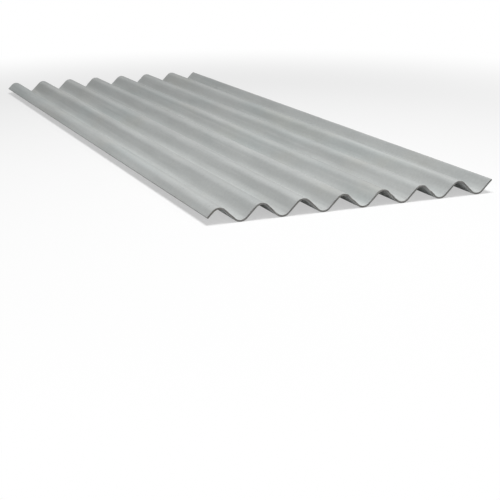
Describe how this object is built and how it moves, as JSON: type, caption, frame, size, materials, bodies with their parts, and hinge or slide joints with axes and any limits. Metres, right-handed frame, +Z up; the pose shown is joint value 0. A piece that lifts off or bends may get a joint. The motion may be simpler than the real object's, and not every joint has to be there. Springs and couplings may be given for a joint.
{
  "type": "corrugated fibre cement sheet",
  "caption": "Corrugated grey fibre-cement sheet for roofs and wall cladding; one constant-thickness wavy sheet with square-cut ends and lapping long edges.",
  "frame": {"origin": "centre of the footprint, on the level that the undersides of the troughs rest on", "axes": "+Y along the corrugations, +X across them from the edge that laps over to the edge that is lapped, +Z up"},
  "size_m": [1.05, 3, 0.0538],
  "materials": {
    "fibre_cement": "matt, fine cement grain; darker and rougher on the cut edges"
  },
  "bodies": {
    "root": {"corrugated_sheet": "fibre_cement"}
  },
  "joints": []
}
